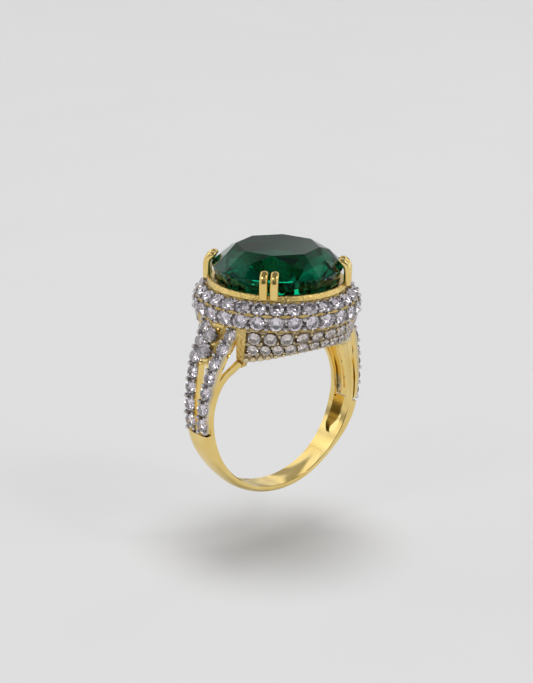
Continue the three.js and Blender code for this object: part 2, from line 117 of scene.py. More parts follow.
GALLERY = dict(
    top_radius=7.75, top=9.48, rim_x=7.5, rim_y=6.45, rim_z=7.1, arch=0.0235, wall=0.66,
    corner_angle=30.0, rim_bulge=0.05, back_start=0.35, steps=200,
)
GALLERY_UPPER = dict(down=0.74, stones=10, pitch=11.85, radius=0.64, squeeze=0.97)
GALLERY_LOWER = dict(down=2.02, stones=12, pitch=9.7, radius=0.54, squeeze=0.7566)
GALLERY_GROOVE = dict(scallop=0.06, edge_drop=0.02, floor=0.26, depth=0.42)
RIM_BEADS = dict(  # below: where the room for them starts; first and pitch are in degrees
    below=2.45, largest=0.34, smallest=0.1, first=-58.2, pitch=5.8, inset=0.9, lift=0.02,
)
CORNER_POST = [  # z, then the (x, y) corners beside the shoulder and beside the gallery
    (5.5, (6.8, 2.5), (6.5, 3.05)),
    (5.9, (6.85, 2.55), (6.5, 3.15)),
    (6.3, (6.85, 2.6), (6.5, 3.3)),
    (7.2, (6.95, 2.65), (6.6, 3.5)),
    (8.4, (7.0, 2.7), (6.7, 3.75)),
    (9.6, (7.05, 2.7), (6.8, 3.95)),
]
CORNER_POST_DEPTH = 0.75
CORNER_POST_TURN = 0.25  # the inner corner beside the gallery lies this much nearer the middle

COLLET_INNER = 6.2
COLLET_OUTLINE = [  # radius, z
    (COLLET_INNER, 12.38), (6.94, 12.38), (6.92, 12.48), (6.78, 12.7), (6.74, 12.8), (6.66, 12.87),
    (6.56, 12.88), (COLLET_INNER, 12.84),
]
COLLET_SIDES = 180
SEAT_OUTLINE = [(5.5, 11.9), (6.14, 11.9), (6.14, 12.22), (5.6, 12.22)]  # radius, z
SEAT_SIDES = 120

CENTRE_STONE = dict(
    radius=6.45, table_radius=4.12, table_z=16.12, star_radius=5.25, star_z=15.42,
    girdle_top=14.32, girdle_bottom=14.12, belly=(5.95, 12.65), lower_radius=2.2, lower_z=10.2,
    culet_z=8.9,
)
CENTRE_GIRDLE_STEPS = 6  # to each of the 16 spans of the girdle

CLAW_PAIR_OFFSET = 0.51
CLAW_HALF_WIDTH = 0.42
CLAW_HALF_DEPTH = 0.4
CLAW_HOLLOW = 0.09  # the outer face is dished by this much
CLAW_PATH = [  # radius, z
    (6.88, 12.62), (6.9, 13.05), (6.92, 13.6), (6.9, 14.12), (6.77, 14.54), (6.5, 14.8),
    (6.2, 14.92), (5.95, 14.97),
]
CLAW_CORNERS = {"front_left": -135, "front_right": -45, "back_right": 45, "back_left": 135}
CLAW_CURVE_STEPS = 5
CLAW_TIP_STEPS = 9
CLAW_TIP = dict(  # how the tip narrows and thins, and the least part that is left
    width_power=2.6, width_left=0.02, depth=0.5, depth_power=4, depth_left=0.04,
)
CLAW_SIDES = 20
CLAW_SQUARENESS = 0.75  # 1 is an ellipse, less is more like a rounded rectangle

GAP = 0.06  # clearance between neighbouring solids

SHOULDER = dict(  # the plate thins between the two heights in thins
    bottom=-1.2, top=9.44, thickness=0.95, thickness_top=0.74, thins=(1.0, 3.0), bulge=0.14,
    steps=120,
)
STRAND_SEAT = dict(
    half=0.62, narrowest=0.1, floor=0.32, depth=0.5, scallop=0.07, edge_drop=0.04, wave_drop=0.05,
)
STRAND_EDGE = dict(seat=0.6, wall=0.71, scalloped=0.6, swell=0.02)  # out from the stones' middle
STRAND_CROWN = dict(  # rise at the inner edge and part of the way out, in parts of the crown
    rim_joined=(1.0, 0.4), rim_split=(0.1, 0.0), slope_at=0.6,
)
FACE_X = [  # height z, and distance in x of the plate's face
    (-1.2, 9.5), (-0.4, 9.61), (1.2, 9.64), (2.85, 9.44), (4.3, 9.13), (5.85, 8.72),
    (7.2, 7.96), (8.45, 7.26), (9.44, 6.86),
]
STRAND_Y = [  # height z, and distance in y of a strand's middle
    (-1.2, 0.88), (1.2, 1.04), (4.35, 1.36), (7.2, 1.77), (9.44, 2.15),
]
STRAND_STONES = [-0.4, 1.21, 2.87, 4.34, 5.87, 7.24, 8.46]  # heights z along a strand
STRAND_LEAN = 12.0  # degrees that the stones of a shoulder turn about the shank
SLOPE_STEP = 0.05  # height on each side over which the slope of the face is taken
STRAND_END_BEADS = (0.72, 0.66)  # how far beyond the lowest and the highest stone
MIDDLE_STONES = [(8.25, 0.38), (6.75, 0.38)]  # height z, and girdle above the plate
MIDDLE_SLOPE = 0.5  # the middle stones face this much upward for each 1 outward
SPLIT = dict(  # the V between the strands: heights z, and half widths
    top=5.6, bottom=-0.5, half_top=0.62, half_bottom=0.12, shoulder=5.2,
)

# ---------------------------------------------------------------- material noise

# A noise is (features per metre, detail); NOISE_RANGE is the part of it that carries the change.
NOISE_RANGE = (0.3, 0.7)
METAL_COLOUR_NOISE = (450.0, 3.0)
METAL_POLISH_NOISE = (900.0, 5.0)
METAL_MARK_DETAIL = 6.0
GEM_COLOUR_NOISE = (300.0, 3.0)
GEM_POLISH_NOISE = (1200.0, 3.0)
GEM_MARK_NOISE = (2500.0, 3.0)
GEM_MARK_HEIGHT = 0.01
GEM_ROUGHNESS = (0.0, 0.02)

# ---------------------------------------------------------------- camera, floor and light

CAMERA = dict(
    azimuth=-38.5, elevation=19.584, roll=1.395, distance=204.558, lens=107.5, sensor=36.0,
    clip=(0.01, 20.0),
)
AIM = (-0.781, 5.865)  # from the bore's centre to the aim point, right and up in the camera's view
FLOOR_Z = -15.5
FLOOR_HALF = 2000.0
SUN = dict(strength=1.62, angle=32.0)
SOFTBOX_SIZE = 45.0
SOFTBOX_DISTANCE = 400.0
SOFTBOXES = dict(  # azimuth and elevation in degrees, power in watts
    key_left=(195.0, 38.0, 0.08), key_right=(-75.0, 48.0, 0.08), rim_back=(15.0, 35.0, 0.03),
)
STUDIO_TONES = [  # height, from 0 straight down to 1 straight up, and brightness
    (0.0, 0.5), (0.5, 0.65), (0.58, 0.75), (0.67, 0.72), (0.75, 0.95), (0.84, 0.85), (0.93, 0.2),
]
STUDIO_CLUTTER = dict(  # light and dark patches all round
    scale=3.2, detail=1.0, start=0.43, end=0.57, dark=0.45, light=1.5,
)
CAMERA_SIDE = (-0.58, -0.73, 0.35)  # where the studio is darker
CAMERA_SHADE = dict(start=0.55, end=0.95, darkest=0.3)  # by how nearly a direction points there
PAPER_TONES = ((0.69, 0.69, 0.695), (0.7, 0.7, 0.705))
PAPER_NOISE = (30.0, 3.0)


# ---------------------------------------------------------------- small tools


def mix(a, b, t):
    return a + (b - a) * t


def smooth(x, low, high):
    t = min(1.0, max(0.0, (x - low) / (high - low)))
    return t * t * (3 - 2 * t)


def along(table, key):
    """Straight interpolation in a list of (key, value) pairs with rising keys."""
    for (k0, v0), (k1, v1) in zip(table, table[1:]):
        if key <= k1:
            break
    return mix(v0, v1, (key - k0) / (k1 - k0))


def polar(radius, degrees, z=0.0):
    a = math.radians(degrees)
    return Vector((radius * math.cos(a), radius * math.sin(a), z))


class Body:
    """Points in millimetres and faces, gathered before they become one mesh."""

    def __init__(self):
        self.points = []
        self.faces = []
        self.tags = []

    def add(self, points, faces):
        first = len(self.points)
        self.points.extend(points)
        self.faces.extend([first + i for i in face] for face in faces)
        self.tags.extend([0] * len(faces))

    def loft(self, sections, closed=False, tags=None):
        """Skin equal outlines; tags gives the material of each strip of the outline."""
        n = len(sections[0])
        spans = len(sections) if closed else len(sections) - 1
        points = [p for section in sections for p in section]
        first = len(self.points)
        self.points.extend(points)
        for s in range(spans):
            here = first + s * n
            there = first + ((s + 1) % len(sections)) * n
            for i in range(n):
                j = (i + 1) % n
                self.faces.append([here + i, here + j, there + j, there + i])
                self.tags.append(tags[i] if tags else 0)
        if not closed:
            last = first + (len(sections) - 1) * n
            self.faces.append([first + i for i in range(n)])
            self.faces.append([last + i for i in reversed(range(n))])
            self.tags.extend([0, 0])

    def bead(self, centre, radius, out):
        """A round grain of metal, with its poles on the line outward."""
        turn = Vector((0, 0, 1)).rotation_difference(out)
        sides = BEAD_SIDES
        points = [centre + out * radius]
        for ring in range(1, BEAD_RINGS):
            a = math.pi * ring / BEAD_RINGS
            for k in range(sides):
                b = 2 * math.pi * k / sides
                local = Vector((math.sin(a) * math.cos(b), math.sin(a) * math.sin(b), math.cos(a)))
                points.append(centre + turn @ (local * radius))
        points.append(centre - out * radius)
        last = len(points) - 1
        faces = [[0, 1 + k, 1 + (k + 1) % sides] for k in range(sides)]
        for ring in range(BEAD_RINGS - 2):
            base = 1 + ring * sides
            for k in range(sides):
                m = (k + 1) % sides
                faces.append([base + k, base + sides + k, base + sides + m, base + m])
        base = 1 + (BEAD_RINGS - 2) * sides
        faces += [[base + k, last, base + (k + 1) % sides] for k in range(sides)]
        self.add(points, faces)

    def cup(self, place, radius):
        """A funnel of metal that a stone drops into, with a rounded lip."""
        origin, across, out = place
        side = across.cross(out)
        sections = []
        for k in range(CUP_SIDES):
            a = 2 * math.pi * k / CUP_SIDES
            spoke = side * math.cos(a) + across * math.sin(a)
            sections.append([origin + (spoke * r + out * h) * radius for r, h in CUP_PROFILE])
        self.loft(sections, closed=True)

    def finish(self, name, materials, slot, replaces=(), sharp=35.0):
        """Make the mesh object, smooth it up to the sharp angle and tie it to the model."""
        mesh = bpy.data.meshes.new(name)
        mesh.from_pydata([p * MM for p in self.points], [], self.faces)
        for material in materials:
            mesh.materials.append(material)
        mesh.polygons.foreach_set("material_index", self.tags)
        bm = bmesh.new()
        bm.from_mesh(mesh)
        bmesh.ops.recalc_face_normals(bm, faces=bm.faces)
        bm.to_mesh(mesh)
        bm.free()
        if sharp:
            mesh.polygons.foreach_set("use_smooth", [True] * len(mesh.polygons))
            mesh.set_sharp_from_angle(angle=math.radians(sharp))
        piece = bpy.data.objects.new(name, mesh)
        bpy.context.scene.collection.objects.link(piece)
        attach(piece, ROOT)
        if replaces:
            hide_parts(*replaces)


# ---------------------------------------------------------------- materials


def new_material(name):
    material = bpy.data.materials.new(name)
    material.use_nodes = True
    tree = material.node_tree
    return material, tree, tree.nodes["Principled BSDF"]


def noise(tree, scale, detail):
    """Noise on the object's own coordinates; scale is in features per metre."""
    coordinates = tree.nodes.new("ShaderNodeTexCoord")
    texture = tree.nodes.new("ShaderNodeTexNoise")
    texture.inputs["Scale"].default_value = scale
    texture.inputs["Detail"].default_value = detail
    tree.links.new(coordinates.outputs["Object"], texture.inputs["Vector"])
    return texture.outputs["Fac"]


def ramp(tree, fac, stops):
    node = tree.nodes.new("ShaderNodeValToRGB")
    elements = node.color_ramp.elements
    while len(elements) < len(stops):
        elements.new(0.5)
    for element, (position, colour) in zip(elements, stops):
        element.position = position
        element.color = (*colour, 1.0)
    tree.links.new(fac, node.inputs["Fac"])
    return node.outputs["Color"]


def map_range(tree, value, start, end, low, high, soft=False):
    """Spread a value from start..end over low..high, straight or with soft ends."""
    node = tree.nodes.new("ShaderNodeMapRange")
    if soft:
        node.interpolation_type = "SMOOTHSTEP"
    numbers = {"From Min": start, "From Max": end, "To Min": low, "To Max": high}
    for socket, number in numbers.items():
        node.inputs[socket].default_value = number
    tree.links.new(value, node.inputs["Value"])
    return node.outputs["Result"]


def bump(tree, shader, fac, strength, distance):
    node = tree.nodes.new("ShaderNodeBump")
    node.inputs["Strength"].default_value = strength
    node.inputs["Distance"].default_value = distance * MM
    tree.links.new(fac, node.inputs["Height"])
    tree.links.new(node.outputs["Normal"], shader.inputs["Normal"])


def wander(tree, shader, dark, light, rough, colour_noise, polish_noise):
    """Let the colour run from dark to light and the roughness between its two values."""
    low, high = NOISE_RANGE
    colour = ramp(tree, noise(tree, *colour_noise), [(low, dark), (high, light)])
    tree.links.new(colour, shader.inputs["Base Color"])
    polish = map_range(tree, noise(tree, *polish_noise), low, high, *rough)
    tree.links.new(polish, shader.inputs["Roughness"])


def metal(name, dark, light, rough, bump_scale, bump_strength, bump_height):
    """Precious metal: colour and polish wander, and fine marks catch the light."""
    material, tree, shader = new_material(name)
    shader.inputs["Metallic"].default_value = 1.0
    wander(tree, shader, dark, light, rough, METAL_COLOUR_NOISE, METAL_POLISH_NOISE)
    bump(tree, shader, noise(tree, bump_scale, METAL_MARK_DETAIL), bump_strength, bump_height)
    return material


def gem(name, dark, light, ior, bump_strength, gloss=0.5, gloss_tint=(1.0, 1.0, 1.0)):
    """Cut stone: clear, with a faint change of tint and the polish of a facet."""
    material, tree, shader = new_material(name)
    shader.inputs["Transmission Weight"].default_value = 1.0
    shader.inputs["Specular IOR Level"].default_value = gloss
    shader.inputs["Specular Tint"].default_value = (*gloss_tint, 1.0)
    shader.inputs["IOR"].default_value = ior
    wander(tree, shader, dark, light, GEM_ROUGHNESS, GEM_COLOUR_NOISE, GEM_POLISH_NOISE)
    bump(tree, shader, noise(tree, *GEM_MARK_NOISE), bump_strength, GEM_MARK_HEIGHT)
    return material


polished_gold = metal(
    "polished_gold", (0.86, 0.62, 0.2), (0.94, 0.73, 0.3), (0.09, 0.17), 1500.0, 0.15, 0.03
)
sanded_gold = metal(
    "sanded_gold", (0.68, 0.48, 0.15), (0.90, 0.68, 0.28), (0.2, 0.4), 2300.0, 1.0, 0.35
)
brushed_gold = metal(
    "brushed_gold", (0.78, 0.55, 0.17), (0.93, 0.71, 0.29), (0.12, 0.28), 2600.0, 0.8, 0.2
)
rhodium = metal(
    "rhodium", (0.56, 0.53, 0.52), (0.72, 0.69, 0.68), (0.14, 0.28), 2200.0, 0.25, 0.05
)
pale_gold = metal(
    "pale_gold", (0.6, 0.5, 0.3), (0.8, 0.69, 0.46), (0.12, 0.26), 2200.0, 0.3, 0.06
)
# Painted shade: the gallery wall's metal is made a dark brown gold for the shade that falls in its
# grooves between the stones.
shadow_gold = metal(
    "shadow_gold", (0.38, 0.31, 0.22), (0.56, 0.47, 0.34), (0.2, 0.36), 2200.0, 0.5, 0.1
)
white_stone = gem("white_stone", (0.87, 0.79, 0.89), (0.98, 0.92, 0.99), 2.3, 0.01)
# Painted shade and painted reflection: a darker, browner copy of the white stone for the gallery,
# for the shade there and the warm gold it reflects.
shaded_stone = gem("shaded_stone", (0.78, 0.68, 0.64), (0.93, 0.85, 0.83), 2.3, 0.01)
green_stone = gem(
    "green_stone", (0.0, 0.05, 0.022), (0.0, 0.105, 0.048), 1.5, 0.02, gloss=0.1,
    gloss_tint=(0.1, 0.8, 0.5),
)

# ---------------------------------------------------------------- band and its forked arms


def outward(angle):
    """Away from the bore in the XZ plane, in degrees from the bottom of the band."""
    a = math.radians(angle)
    return Vector((math.sin(a), 0, -math.cos(a)))


def hoop_section(angle):
    side = abs(angle)
    out = outward(angle)
    widened = smooth(side, BAND["widens_from"], BAND["end"])
    width = mix(BAND["width_bottom"], BAND["width_top"], widened)
    grown = smooth(side, BAND["thickens_from"], BAND["end"])
    edge = mix(BAND["edge_bottom"], BAND["edge_top"], grown)
    crown = mix(BAND["crown_bottom"], BAND["crown_top"], grown)
    half = width / 2
    inside = max(0.0, side - CHANNEL["start"])
    tapered = CHANNEL["tip"] + inside / CHANNEL["taper"]
    slot_half = CHANNEL["half_width"] * math.sqrt(min(1.0, tapered))
    deepening = smooth(side, CHANNEL["start"], CHANNEL["full_depth_at"])
    slot_depth = mix(CHANNEL["start_depth"], CHANNEL["depth"], deepening) if inside > 0 else 0.0
    chamfer = BAND["chamfer"]
    outline = [
        (-half, chamfer), (-half + chamfer, 0.0), (-slot_half, 0.0), (-slot_half, slot_depth),
        (slot_half, slot_depth), (slot_half, 0.0), (half - chamfer, 0.0), (half, chamfer),
    ]
    side_height = edge - BAND["rounding"]
    for i in range(BAND["steps"] + 1):
        a = math.pi * i / BAND["steps"]
        outline.append((math.cos(a) * half, side_height + (crown - side_height) * math.sin(a)))
    origin = out * FINGER_RADIUS
    return [origin + Vector((0, u, 0)) + out * v for u, v in outline]


def rounded_bar(low, high, thickness):
    """Outline of a bar with rounded corners: from low to high, and from 0 to thickness."""
    corner = ARM["corner"]
    points = []
    centres = [
        (high - corner, thickness - corner, 0), (low + corner, thickness - corner, 90),
        (low + corner, corner, 180), (high - corner, corner, 270),
    ]
    for cx, cy, start in centres:
        for step in (0, 30, 60, 90):
            a = math.radians(start + step)
            points.append((cx + corner * math.cos(a), cy + corner * math.sin(a)))
    return points


def arm_sections(side, face):
    sections = []
    for i in range(ARM["steps"] + 1):
        angle = mix(ARM["start"], ARM["top"], i / ARM["steps"])
        out = outward(side * angle)
        forked = smooth(angle, *ARM["forks"])
        middle = along(ARM_SPREAD, max(ARM_SPREAD[0][0], angle))
        low = mix(ARM["inner_start"], middle - ARM["width"] / 2, forked)
        high = mix(ARM["outer_start"], middle + ARM["width"] / 2, forked)
        thickness = mix(ARM["thickness"], ARM["thickness_top"], smooth(angle, *ARM["thickens"]))
        bar = rounded_bar(low, high, thickness)
        origin = out * FINGER_RADIUS
        sections.append([origin + Vector((0, face * u, 0)) + out * v for u, v in bar])
    return sections


def build_band():
    body = Body()
    low, high = BAND_CLOSE_RANGE
    even = [i * BAND_STEP for i in range(int(BAND["end"] / BAND_STEP))]
    half = sorted([a for a in even if not low < a < high] + BAND_CLOSE_STEPS + [BAND["end"]])
    angles = [-a for a in reversed(half[1:])] + half
    body.loft([hoop_section(a) for a in angles])
    for _, side in SIDES:
        for _, face in FACES:
            body.loft(arm_sections(side, face))
    body.finish("band_and_arms", [polished_gold], "yellow_gold", ["band"], sharp=40)


build_band()

# ---------------------------------------------------------------- stones


def plane_z(a, b, c, x, y):
    """Height at (x, y) of the plane through three points."""
    n = (b - a).cross(c - a)
    return a.z - (n.x * (x - a.x) + n.y * (y - a.y)) / n.z


def brilliant(size, girdle_steps):
    """Points and faces of a round brilliant: table, stars, kites, girdle and pavilion."""
    table = [polar(size["table_radius"], 45 * k, size["table_z"]) for k in range(8)]
    star = [polar(size["star_radius"], 45 * k + 22.5, size["star_z"]) for k in range(8)]
    lower = [polar(size["lower_radius"], 45 * k + 22.5, size["lower_z"]) for k in range(8)]
    culet = Vector((0, 0, size["culet_z"]))
    radius, top, bottom = size["radius"], size["girdle_top"], size["girdle_bottom"]
    count = 16 * girdle_steps
    belly_radius, belly_z = size.get("belly", (0, 0))
    keel = [polar(belly_radius, 22.5 * k, belly_z) for k in range(16)] if belly_radius else []
    rims = {"top": [], "bottom": []}
    for j in range(count):
        span = j // girdle_steps
        key = [polar(radius, 22.5 * span), polar(radius, 22.5 * (span + 1))]
        spot = polar(radius, 360 * j / count)
        for rim, z, near in (("top", top, star), ("bottom", bottom, lower)):
            a, b = (Vector((k.x, k.y, z)) for k in key)
            level = keel and rim == "bottom"
            height = z if level else plane_z(near[span // 2], a, b, spot.x, spot.y)
            rims[rim].append(Vector((spot.x, spot.y, height)))
    points = table + star + lower + [culet] + rims["top"] + rims["bottom"] + keel
    s0, l0, c0, t0 = 8, 16, 24, 25
    b0 = t0 + count
    k0 = b0 + count
    faces = [list(range(8))]
    for k in range(8):
        before, after = (k - 1) % 8, (k + 1) % 8
        corner = (2 * k * girdle_steps) % count
        faces.append([k, after, s0 + k])
        faces.append([k, s0 + k, t0 + corner, s0 + before])
        faces.append([k0 + 2 * k if keel else b0 + corner, l0 + k, c0, l0 + before])
        for half in (0, 1):
            first = (2 * k + half) * girdle_steps
            arc = [(first + i) % count for i in range(girdle_steps + 1)]
            faces.append([s0 + k] + [t0 + i for i in arc])
            if keel:
                here, there = k0 + 2 * k + half, k0 + (2 * k + half + 1) % 16
                faces.append([here, there] + [b0 + i for i in reversed(arc)])
                faces.append([l0 + k, here, there])
            else:
                faces.append([l0 + k] + [b0 + i for i in arc])
    for j in range(count):
        m = (j + 1) % count
        faces.append([t0 + j, t0 + m, b0 + m, b0 + j])
    return points, faces


MELEE_CUT = brilliant(MELEE_SHAPE, 1)


def set_stone(body, place, radius, spin=0.0):
    """Add a small brilliant at a place (origin, across, out), turned by spin degrees."""
    origin, across, out = place
    side = across.cross(out)
    first = SETTING_WOBBLE * math.sin(WOBBLE_CHANGE[0] * spin + radius)
    second = SETTING_WOBBLE * math.cos(WOBBLE_CHANGE[1] * spin)
    wobble = Matrix.Rotation(math.radians(first), 3, across)
    wobble = wobble @ Matrix.Rotation(math.radians(second), 3, side)
    across, side, out = wobble @ across, wobble @ side, wobble @ out
    c, s = math.cos(math.radians(spin)), math.sin(math.radians(spin))
    points, faces = MELEE_CUT
    moved = []
    for p in points:
        x, y = p.x * c - p.y * s, p.x * s + p.y * c
        moved.append(origin + (side * x + across * y + out * p.z) * radius)
    body.add(moved, faces)


def halo_place(row, degrees, across_shift=0.0):
    radial = polar(1.0, degrees)
    up = Vector((0, 0, 1))
    tilt = math.radians(row["tilt"])
    across = up * math.cos(tilt) - radial * math.sin(tilt)
    out = radial * math.cos(tilt) + up * math.sin(tilt)
    origin = radial * row["radius"] + up * row["z"] + across * across_shift
    return origin, across, out


def build_halo_stones():
    step = 360 / HALO_STONES
    for i in range(HALO_STONES):
        body = Body()
        set_stone(body, halo_place(UPPER_ROW, i * step), MELEE_RADIUS, spin=SPIN["upper"] * i)
        name = f"halo_brilliant_{i + 1}"
        body.finish(name, [white_stone], "white_stone", [f"halo_stone_{i + 1}"], sharp=0)
    body = Body()
    for i in range(HALO_STONES):
        set_stone(body, halo_place(LOWER_ROW, i * step), MELEE_RADIUS, spin=SPIN["lower"] * i)
    body.finish("halo_lower_brilliants", [white_stone], "white_stone", ["halo_lower_row"], sharp=0)


build_halo_stones()

# ---------------------------------------------------------------- halo dome


def dome_profile(degrees):
    """Closed outline of the dome at one angle, as (radius, z), with scalloped row edges."""
    wave = math.cos(math.radians(degrees * HALO_STONES))
    half = GROOVE["half"] + GROOVE["scallop"] * wave
    rise = -GROOVE["edge_drop"] - GROOVE["wave_drop"] * wave
    lip, floor, depth = GROOVE["lip"], GROOVE["floor"], GROOVE["depth"]
    points = [(COLLET_INNER, HALO_TOP), (HALO_TOP_OUTER, HALO_TOP)]
    for row in (UPPER_ROW, LOWER_ROW):
        tilt = math.radians(row["tilt"])
        across = (math.sin(tilt), -math.cos(tilt))
        out = (math.cos(tilt), math.sin(tilt))
        for s, h in (
            (-half, rise), (-half + lip, rise - lip), (-floor, -depth),
            (floor, -depth), (half - lip, rise - lip), (half, rise),
        ):
            r = row["radius"] + across[0] * s + out[0] * (h - MELEE_LIFT)
            z = row["z"] + across[1] * s + out[1] * (h - MELEE_LIFT)
            points.append((r, z))
    return points + HALO_UNDERSIDE + [(COLLET_INNER, HALO_INNER_FOOT)]


# The metal of each strip of the outline: 0 rhodium, 1 sanded gold.
DOME_TAGS = [1, 1, 0, 0, 0, 0, 0, 1, 0, 0, 0, 0, 0, 1, 1, 1, 1, 1, 1]


def build_dome():
    body = Body()
    count = HALO_STONES * HALO_SECTIONS_PER_STONE
    sections = []
    for i in range(count):
        degrees = 360 * i / count
        sections.append([polar(r, degrees, z) for r, z in dome_profile(degrees)])
    body.loft(sections, closed=True, tags=DOME_TAGS)
    body.finish("halo_dome_metal", [rhodium, sanded_gold], "white_rhodium", ["halo_dome"])


build_dome()


def build_halo_beads():
    white, yellow = Body(), Body()
    step = 360 / HALO_STONES
    edge = EDGE_BEAD["shift"]
    edges = ((edge, EDGE_BEAD["lift_above"]), (-edge, EDGE_BEAD["lift_below"]))
    for i in range(HALO_STONES):
        between = (i + 0.5) * step
        for row in (UPPER_ROW, LOWER_ROW):
            for shift in (-HALO_BEAD["shift"], HALO_BEAD["shift"]):
                origin, _, out = halo_place(row, between, shift)
                white.bead(origin + out * HALO_BEAD["lift"], HALO_BEAD["radius"], out)
        for shift, lift in edges:
            origin, _, out = halo_place(LOWER_ROW, i * step, shift)
            yellow.bead(origin + out * lift, EDGE_BEAD["radius"], out)
    white.finish("halo_beads", [rhodium], "white_rhodium")
    yellow.finish("halo_gold_beads", [polished_gold], "yellow_gold")


build_halo_beads()

# ---------------------------------------------------------------- pave shoulders


def face_x(z):
    return along(FACE_X, z)


def strand_y(z):
    return along(STRAND_Y, z)


def crown_x(z):
    return face_x(z) + SHOULDER["bulge"] * strand_y(z) ** 2


def split_half(z):
    """Half width of the open V between the strands, 0 where they are joined."""
    if z < SPLIT["bottom"] or z > SPLIT["top"]:
        return 0.0
    if z > SPLIT["shoulder"]:
        left = (SPLIT["top"] - z) / (SPLIT["top"] - SPLIT["shoulder"])
        return SPLIT["half_top"] * math.sqrt(left)
    t = (z - SPLIT["bottom"]) / (SPLIT["shoulder"] - SPLIT["bottom"])
    return mix(SPLIT["half_bottom"], SPLIT["half_top"], t)


def plate_thickness(z):
    behind = FINGER_RADIUS + ARM["thickness"] + GAP
    arm_x = math.sqrt(max(0.0, behind**2 - z**2))
    thins = smooth(z, *SHOULDER["thins"])
    limit = mix(SHOULDER["thickness"], SHOULDER["thickness_top"], thins)
    return min(limit, face_x(z) - arm_x)


def strand_wave(z):
    """+1 at a stone and -1 half way between two stones."""
    stones = STRAND_STONES
    last = len(stones) - 1
    i = max([k for k in range(last + 1) if stones[k] <= z], default=0)
    pitch = stones[min(i + 1, last)] - stones[min(i, last - 1)]
    return math.cos(2 * math.pi * (z - stones[i]) / pitch)


def between_strand_stones():
    """Heights half way between neighbours, and just past both ends of a strand."""
    stones = STRAND_STONES
    below, above = STRAND_END_BEADS
    middles = [(a + b) / 2 for a, b in zip(stones, stones[1:])]
    return [stones[0] - below] + middles + [stones[-1] + above]


def strand_section(side, face, z):
    """Outline of one strand, from the V to its outer wall, with scalloped stone edges."""
    y = strand_y(z)
    wave = strand_wave(z)
    scallop = STRAND_SEAT["scallop"] * wave
    inner = split_half(z)
    joined = inner == 0.0
    crown = crown_x(z) - face_x(z)
    thickness = plate_thickness(z)
    seat_in = max(inner + STRAND_SEAT["narrowest"], y - STRAND_SEAT["half"] - scallop)
    seat_out = y + STRAND_EDGE["seat"] + scallop * STRAND_EDGE["scalloped"]
    wall = y + STRAND_EDGE["wall"] + scallop * STRAND_EDGE["scalloped"]
    top = -STRAND_SEAT["edge_drop"] - STRAND_SEAT["wave_drop"] * wave
    floor, depth = STRAND_SEAT["floor"], STRAND_SEAT["depth"]
    rim, slope = STRAND_CROWN["rim_joined" if joined else "rim_split"]
    points = [
        (inner, -thickness),
        (inner, crown * rim),
        (mix(inner, seat_in, STRAND_CROWN["slope_at"]), crown * slope),
        (seat_in, top),
        (y - floor, -depth),
        (y + floor, -depth),
        (seat_out, top),
        (wall, top),
        (wall + STRAND_EDGE["swell"], -thickness / 2),
        (wall, -thickness),
    ]
    origin = Vector((side * face_x(z), 0, z))
    return [origin + Vector((side * v, face * u, 0)) for u, v in points]


# The metal of each strip of the outline: 0 rhodium, 1 sanded, 2 polished and 3 pale gold.
STRAND_TAGS = [2, 2, 1, 0, 0, 0, 0, 3, 2, 2]


def strand_place(side, face, z, across_shift=0.0):
    step = SLOPE_STEP
    slope = (face_x(z + step) - face_x(z - step)) / (2 * step)
    level_out = Vector((side, 0, -slope)).normalized()
    up = level_out.cross(Vector((0, 1, 0)))
    lean = Matrix.Rotation(math.radians(STRAND_LEAN), 3, up * math.copysign(1.0, up.z))
    out = lean @ level_out
    across = lean @ Vector((0, 1, 0))
    origin = Vector((side * face_x(z), face * strand_y(z), z)) + across * across_shift
    return origin + out * MELEE_LIFT, across, out


def build_shoulder(side_name, side):
    body = Body()
    steps = SHOULDER["steps"]
    levels = [mix(SHOULDER["bottom"], SHOULDER["top"], i / steps) for i in range(steps + 1)]
    for face in (-1, 1):
        body.loft([strand_section(side, face, z) for z in levels], tags=STRAND_TAGS)
    name = f"shoulder_{side_name}_metal"
    metals = [rhodium, sanded_gold, polished_gold, pale_gold]
    body.finish(name, metals, "white_rhodium", [f"shoulder_{side_name}"])

    beads = Body()
    for face_name, face in FACES:
        stones = Body()
        for i, z in enumerate(STRAND_STONES):
            place = strand_place(side, face, z)
            set_stone(stones, place, SHOULDER_STONE_RADIUS, spin=SPIN["strand"] * i)
        for z in between_strand_stones():
            for shift in (-STRAND_BEAD["shift"], STRAND_BEAD["shift"]):
                origin, _, out = strand_place(side, face, z, shift)
                beads.bead(origin + out * STRAND_BEAD["lift"], STRAND_BEAD["radius"], out)
        node = f"strand_{side_name}_{face_name}"
        stones.finish(f"{node}_brilliants", [white_stone], "white_stone", [node], sharp=0)
    out = Vector((side, 0, MIDDLE_SLOPE)).normalized()
    across = Vector((0, 1, 0))
    along_face = across.cross(out)
    for i, (z, lift) in enumerate(MIDDLE_STONES):
        origin = Vector((side * crown_x(z), 0, z)) + out * lift
        place = (origin, across, out)
        beads.cup(place, MELEE_RADIUS)
        for corner in (45, 135, 225, 315):
            a = math.radians(corner)
            spoke = across * math.cos(a) + along_face * math.sin(a)
            beads.bead(origin + spoke * MIDDLE_BEAD["reach"], MIDDLE_BEAD["radius"], out)
        stone = Body()
        set_stone(stone, place, MELEE_RADIUS, spin=SPIN["middle"] * i)
        name = f"middle_{side_name}_{i + 1}_brilliant"
        node = f"shoulder_stone_{side_name}_{i + 1}"
        stone.finish(name, [white_stone], "white_stone", [node], sharp=0)
    beads.finish(f"shoulder_{side_name}_beads", [rhodium], "white_rhodium")


for side_name, side in SIDES:
    build_shoulder(side_name, side)

# ---------------------------------------------------------------- under-gallery


